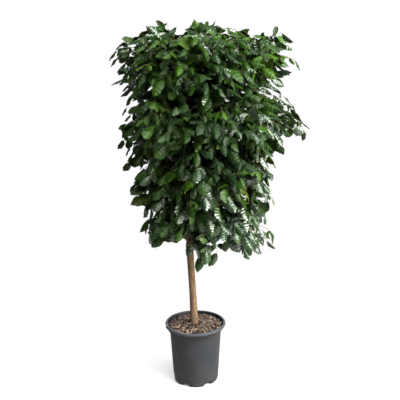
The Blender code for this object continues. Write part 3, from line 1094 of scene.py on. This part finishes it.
def meshOfCopies(name, places, faces, uv):
    count, size = places.shape[0], places.shape[1]
    corners = np.array([index for face in faces for index in face])
    sizes = np.array([len(face) for face in faces])
    starts = np.concatenate([[0], np.cumsum(sizes)[:-1]])
    shift = np.arange(count)[:, None]
    mesh = bpy.data.meshes.new(name)
    mesh.vertices.add(count * size)
    mesh.vertices.foreach_set("co", places.astype(np.float32).ravel())
    mesh.loops.add(count * len(corners))
    mesh.loops.foreach_set("vertex_index", (corners + shift * size).ravel().astype(np.int32))
    mesh.polygons.add(count * len(faces))
    mesh.polygons.foreach_set("loop_start", (starts + shift * len(corners)).ravel().astype(np.int32))
    layer = mesh.uv_layers.new(name="OFBake")
    layer.data.foreach_set("uv", np.tile(uv[corners], (count, 1)).astype(np.float32).ravel())
    mesh.update(calc_edges=True)
    mesh.validate()
    return mesh


# Upper side, underside, roughness and coat of each tint
tints = {
    # The deep tint is painted shade for leaves inside the crown
    "leavesDeepShade": ((0.0056, 0.018, 0.002), (0.016, 0.032, 0.004), 0.46, 0.0),
    "leavesDark": ((0.0098, 0.030, 0.001), (0.026, 0.050, 0.006), 0.42, 0.06),
    "leavesGlossy": ((0.0090, 0.030, 0.002), (0.026, 0.050, 0.007), 0.34, 0.95),
    "leavesSheen": ((0.015, 0.047, 0.003), (0.036, 0.068, 0.008), 0.36, 0.85),
    "leavesMid": ((0.0165, 0.046, 0.001), (0.038, 0.074, 0.008), 0.42, 0.05),
    # The fresh tint is paler young growth, and on the right partly painted light
    "leavesFreshAndLit": ((0.026, 0.070, 0.001), (0.060, 0.100, 0.009), 0.42, 0.06),
    "leavesOlive": ((0.048, 0.078, 0.006), (0.066, 0.096, 0.012), 0.46, 0.05),
}
veins = {
    "count": 6.0, "width": 0.085, "midribWidth": 0.012, "paler": 0.30,
    "paleLift": (0.009, 0.012, 0.004), "relief": 0.0014, "pores": 46.0,
}


def leafMaterial(name, upperTint, underTint, roughness, coat):
    shine = 0.20 + 0.30 * coat
    fixed = {"Coat Weight": coat, "Coat Roughness": 0.25, "Specular IOR Level": shine}
    material, tree, shader = newMaterial(name, fixed)
    spot = addNode(tree, "UVMap", uv_map="OFBake").outputs[0]
    parts = addNode(tree, "SeparateXYZ", {0: spot})
    start, run = outline["mapStart"], outline["mapRun"]
    reach = maths(tree, "DIVIDE", maths(tree, "SUBTRACT", parts.outputs[0], start), run)
    aside = maths(tree, "SUBTRACT", parts.outputs[1], 0.5)
    aside = maths(tree, "DIVIDE", maths(tree, "ABSOLUTE", aside), run)
    beat = maths(tree, "ADD", times(tree, reach, veins["count"]), 0.5)
    gap = maths(tree, "PINGPONG", beat, 0.5)
    vein = ranged(tree, gap, 0.0, veins["width"], 1.0, 0.0)
    rib = ranged(tree, aside, 0.0, veins["midribWidth"], 1.0, 0.0)
    lines = maths(tree, "MAXIMUM", times(tree, vein, 0.7), rib)
    pillow = times(tree, ranged(tree, gap, 0.0, 0.34), ranged(tree, aside, 0.0, 0.05))
    cells = {"Vector": spot, "Scale": veins["pores"]}
    pores = addNode(tree, "TexVoronoi", cells, feature="F1").outputs["Distance"]
    cloud = noiseOn(tree, spot, 5.0, 3.0)
    upper = mixed(tree, cloud, shaded(upperTint, 0.72), shaded(upperTint, 1.3))
    pale = tuple(part + lift for part, lift in zip(shaded(upperTint, 1.9), veins["paleLift"]))
    upper = mixed(tree, times(tree, lines, veins["paler"]), upper, pale)
    behind = addNode(tree, "NewGeometry").outputs["Backfacing"]
    colour = mixed(tree, behind, upper, mixed(tree, lines, underTint, pale))
    rough = ranged(tree, cloud, 0.3, 0.7, roughness - 0.05, roughness + 0.08)
    rough = maths(tree, "ADD", rough, times(tree, behind, 0.2))
    tree.links.new(rough, shader.inputs["Roughness"])
    height = maths(tree, "ADD", pillow, times(tree, pores, 0.05))
    surfaced(tree, shader, colour, height, veins["relief"], 0.85)
    return material


def buildLeaves(leaflets):
    grid = leafletGrid()
    pieces = []
    for name, look in tints.items():
        entries = [entry for entry in leaflets if entry["tint"] == name]
        mesh = leafletMesh(name, entries, grid)
        pieces.append(newObject(name, mesh, leafMaterial(name, *look), "foliage"))
        print(" ", name, len(entries), "leaflets")
    return pieces


def buildStalks(stalks):
    curve = newCurve("stalks", 4)
    for line in stalks:
        addSpline(curve, line, np.linspace(1.5, 0.75, len(line)) * leaf["stalkRadius"])
    material = twigMaterial("stalkGreen", leaf["stalkTint"], leaf["stalkPaleTint"])
    newObject("leafStalks", meshOfCurve("stalks", curve), material, "foliage")


def tintFor(tip, depth, source):
    # Leaves inside and in the middle are darkest, as painted shade; low and right ones shine; high
    # right ones are young and paler, partly painted light, and left ones lighter as painted light
    draw = source.random()
    # Leaves well under the skin get the nearly black deep tint: painted shade
    if depth < -0.07:
        return "leavesDeepShade" if draw < 0.88 else "leavesDark"
    high = np.clip((tip[2] - 1.30) / 0.28, 0.0, 1.0)
    side = np.clip((tip[0] - 0.05) / 0.35, -1.0, 1.0)
    right, left = max(side, 0.0), max(-side, 0.0)
    low = np.clip((1.05 - tip[2]) / 0.30, 0.0, 1.0) * np.clip((tip[0] + 0.16) / 0.15, 0.0, 1.0)
    middle = np.clip(1.0 - abs(side) / 0.6, 0.0, 1.0) * (1.0 - high)
    # Paler young leaves at the top; the added share on the right side is painted light
    freshAndLit = 0.015 + 0.11 * high + (0.02 + 0.25 * high) * right
    shares = {
        "leavesFreshAndLit": freshAndLit * (1.0 - 0.9 * low),
        "leavesGlossy": 0.14 + 0.23 * right + 0.32 * low - 0.07 * high,
        "leavesSheen": 0.01 + 0.42 * low + 0.03 * right,
        # More mid-green leaves on the shaded left are painted fill light
        "leavesMid": 0.12 - 0.08 * middle + 0.20 * left * (1.0 - low),
        "leavesOlive": 0.008,
        # The deep tint's share darkens the middle, top and right with painted shade
        "leavesDeepShade": (0.06 + 0.14 * max(side, high) + 0.26 * middle) * (1.0 - low),
    }
    for name, share in shares.items():
        draw -= share
        if draw < 0.0:
            return name
    return "leavesDark"


def pullIn(leaflets):
    # Leaflets whose tips stand out of the crown hang closer to it
    for entry in leaflets:
        for _ in range(4):
            tip = entry["base"] + entry["aim"] * entry["length"] * 0.9
            gap, outward = skinAt(tip, 6)
            if gap < crown["proud"]:
                break
            entry["aim"] = unit(entry["aim"] - outward * 0.35 - up * 0.12)
            entry["face"] = square(entry["face"], entry["aim"])
            entry["length"] *= 0.97


def growCrown():
    source = np.random.default_rng(seeds["leaves"])
    tips = layOutTips()
    roots = np.array([rootOf(tip, outward, source) for tip, outward, _ in tips])
    groups = groupRoots(roots)
    ends = [middle for middle, _ in groups]
    print("leaf tips:", len(tips), "twig ends:", len(ends))
    places, aims, loads, runs = growTwigs(ends, [len(members) for _, members in groups])
    buildTwigs(places, loads, runs)
    leaflets, stalks = [], []
    for index, chain in runs:
        for order, member in enumerate(groups[index][1]):
            tip, outward, far = tips[member]
            node = chain[-1 - min(order // 2, len(chain) - 2)]
            tint = tintFor(tip, skinAt(tip)[0], source)
            stands = far and tip[2] > leaf["standsOver"]
            hangs = far and tip[2] < leaf["hangsUnder"]
            tone = {
                "tint": "leavesDark" if hangs else tint,
                "size": leaf["endSize"] if stands or hangs else 1.0,
                "far": far, "stands": stands, "hangs": hangs,
            }
            line, made = layLeaf(places[node], tip, outward, aims[node], source, tone)
            stalks.append(line)
            leaflets += made
    print("leaves:", len(stalks), "leaflets:", len(leaflets))
    pullIn(leaflets)
    pieces = buildLeaves(leaflets)
    buildStalks(stalks)
    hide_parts(*massNames)


growCrown()
print("crown grown")
